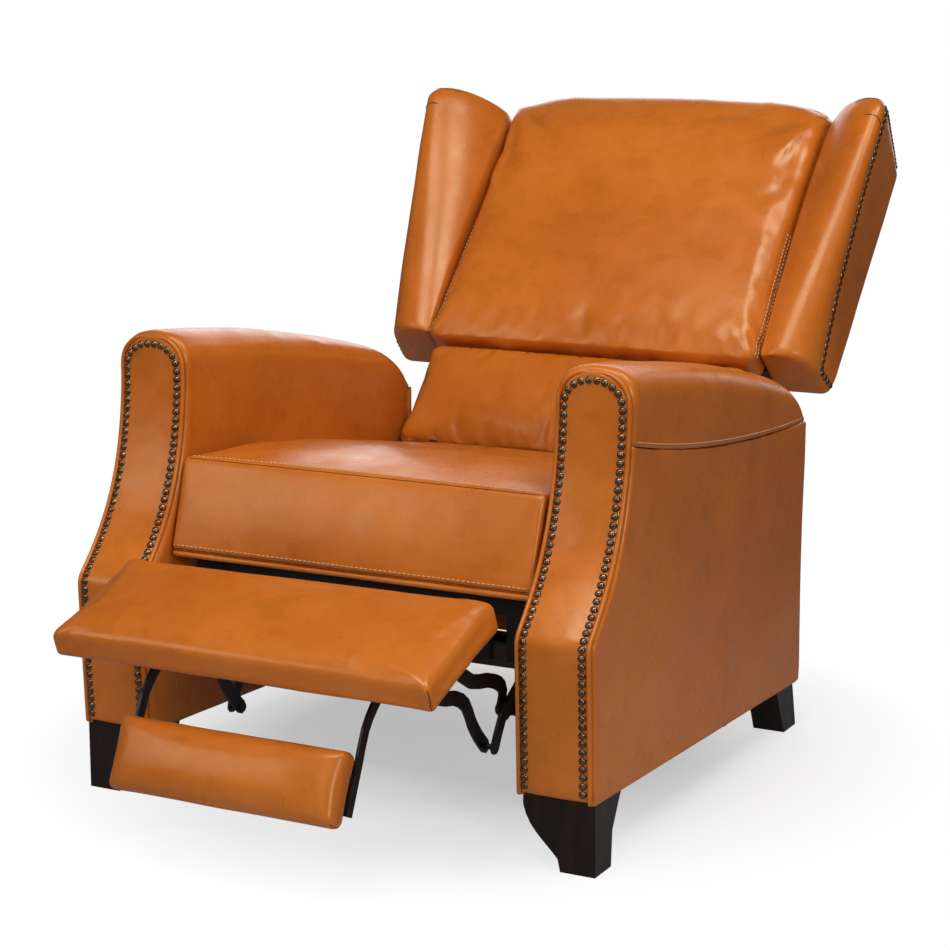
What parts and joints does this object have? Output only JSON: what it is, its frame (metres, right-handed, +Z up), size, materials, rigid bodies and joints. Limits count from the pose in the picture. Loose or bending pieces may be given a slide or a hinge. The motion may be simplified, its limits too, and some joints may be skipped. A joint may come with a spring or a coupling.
{
  "type": "wingback push-back recliner",
  "caption": "Wingback recliner with rolled arms, S-curved arm fronts, bracket feet, push-back seat and back, and a folding linkage footrest with a flip-out foot pad.",
  "frame": {"origin": "centre of the bounding box's bottom face, on the floor under the seat, with the chair reclined and the footrest open", "axes": "+X to the sitter's left and across the symmetric width, +Y rearward, so the sitter looks along -Y, and +Z up"},
  "size_m": [0.8242, 1.4883, 0.9561],
  "materials": {
    "cognac_leather": "satin",
    "espresso_wood": "satin",
    "frame_wood": "matte",
    "black_steel": "satin",
    "spring_steel": "satin",
    "black_cloth": "matte"
  },
  "bodies": {
    "base": {"arm_pad_left": "cognac_leather", "arm_pad_right": "cognac_leather", "arm_front_panel_left": "cognac_leather", "arm_front_panel_right": "cognac_leather", "arm_outer_panel_left": "cognac_leather", "arm_outer_panel_right": "cognac_leather", "arm_inner_panel_left": "cognac_leather", "arm_inner_panel_right": "cognac_leather", "arm_frame_left": "frame_wood", "arm_frame_right": "frame_wood", "front_leg_left": "espresso_wood", "front_leg_right": "espresso_wood", "rear_leg_left": "espresso_wood", "rear_leg_right": "espresso_wood", "front_cross_rail": "frame_wood", "rear_cross_rail": "frame_wood", "rear_base_panel": "cognac_leather", "base_plate_left": "black_steel", "base_plate_right": "black_steel", "rear_cross_tube": "black_steel"},
    "seat_carriage": {"seat_rail_left": "black_steel", "seat_rail_right": "black_steel", "seat_frame": "frame_wood", "seat_cushion": "cognac_leather", "seat_front_rail": "cognac_leather", "seat_front_board": "black_cloth", "seat_spring_1": "spring_steel", "seat_spring_2": "spring_steel", "seat_spring_3": "spring_steel"},
    "back": {"back_frame": "frame_wood", "lumbar_cushion": "cognac_leather", "head_pillow": "cognac_leather", "wing_left": "cognac_leather", "wing_right": "cognac_leather", "back_outer_panel": "cognac_leather", "back_bracket_left": "black_steel", "back_bracket_right": "black_steel"},
    "front_swing_links": {"front_swing_link_left": "black_steel", "front_swing_link_right": "black_steel"},
    "rear_swing_links": {"rear_swing_link_left": "black_steel", "rear_swing_link_right": "black_steel"},
    "recline_links": {"recline_link_left": "black_steel", "recline_link_right": "black_steel"},
    "drive_links": {"drive_link_left": "black_steel", "drive_link_right": "black_steel", "torque_tube": "black_steel"},
    "cross_links": {"cross_link_left": "black_steel", "cross_link_right": "black_steel"},
    "arch_links": {"arch_link_left": "black_steel", "arch_link_right": "black_steel"},
    "control_links": {"control_link_left": "black_steel", "control_link_right": "black_steel"},
    "footrest": {"ottoman_pad": "cognac_leather", "ottoman_board": "black_cloth", "ottoman_bracket_left": "black_steel", "ottoman_bracket_right": "black_steel"},
    "flip_footpad": {"flip_pad": "cognac_leather", "flip_board": "black_cloth", "flip_bracket_left": "black_steel", "flip_bracket_right": "black_steel"}
  },
  "joints": [
    {"name": "seat_glide", "type": "slide", "parent": "base", "child": "seat_carriage", "axis": [0, 0.9848, -0.1736], "range_m": [0, 0.05]},
    {"name": "back_recline", "type": "hinge", "parent": "seat_carriage", "child": "back", "pos_m": [0, 0.22165, 0.398], "axis": [1, 0, 0], "range_deg": [0, 24.02]},
    {"name": "front_swing", "type": "hinge", "parent": "base", "child": "front_swing_links", "pos_m": [0, -0.04569, 0.15518], "axis": [1, 0, 0], "range_deg": [-40.66, 0]},
    {"name": "rear_swing", "type": "hinge", "parent": "base", "child": "rear_swing_links", "pos_m": [0, 0.09218, 0.13087], "axis": [1, 0, 0], "range_deg": [-40.66, 0]},
    {"name": "recline_push", "type": "hinge", "parent": "base", "child": "recline_links", "pos_m": [0, 0.23105, 0.14532], "axis": [1, 0, 0], "range_deg": [-24.58, 0]},
    {"name": "footrest_drive", "type": "hinge", "parent": "seat_carriage", "child": "drive_links", "pos_m": [0, -0.25375, 0.2344], "axis": [1, 0, 0], "range_deg": [0, 52.68]},
    {"name": "cross_knee", "type": "hinge", "parent": "drive_links", "child": "cross_links", "pos_m": [0, -0.38355, 0.1242], "axis": [1, 0, 0], "range_deg": [-69.92, 0]},
    {"name": "arch_middle", "type": "hinge", "parent": "drive_links", "child": "arch_links", "pos_m": [0, -0.35815, 0.1712], "axis": [1, 0, 0], "range_deg": [-74.32, 0]},
    {"name": "control_root", "type": "hinge", "parent": "seat_carriage", "child": "control_links", "pos_m": [0, -0.18835, 0.195], "axis": [1, 0, 0], "range_deg": [0, 56.35]},
    {"name": "footrest_fold", "type": "hinge", "parent": "cross_links", "child": "footrest", "pos_m": [0, -0.56975, 0.271], "axis": [1, 0, 0], "range_deg": [0, 87.64]},
    {"name": "flip_pad_fold", "type": "hinge", "parent": "footrest", "child": "flip_footpad", "pos_m": [0, -0.60535, 0.262], "axis": [1, 0, 0], "range_deg": [0, 45.02]}
  ],
  "couplings": [
    {"joint": "back_recline", "follows": "seat_glide", "rad_per_m": 8.3776},
    {"joint": "front_swing", "follows": "seat_glide", "rad_per_m": -14.184},
    {"joint": "rear_swing", "follows": "seat_glide", "rad_per_m": -14.184},
    {"joint": "recline_push", "follows": "seat_glide", "rad_per_m": -8.5741},
    {"joint": "cross_knee", "follows": "footrest_drive", "ratio": -1.3269},
    {"joint": "arch_middle", "follows": "footrest_drive", "ratio": -1.4103},
    {"joint": "control_root", "follows": "footrest_drive", "ratio": 1.0693},
    {"joint": "footrest_fold", "follows": "footrest_drive", "ratio": 1.6633},
    {"joint": "flip_pad_fold", "follows": "footrest_drive", "ratio": 0.8542}
  ]
}
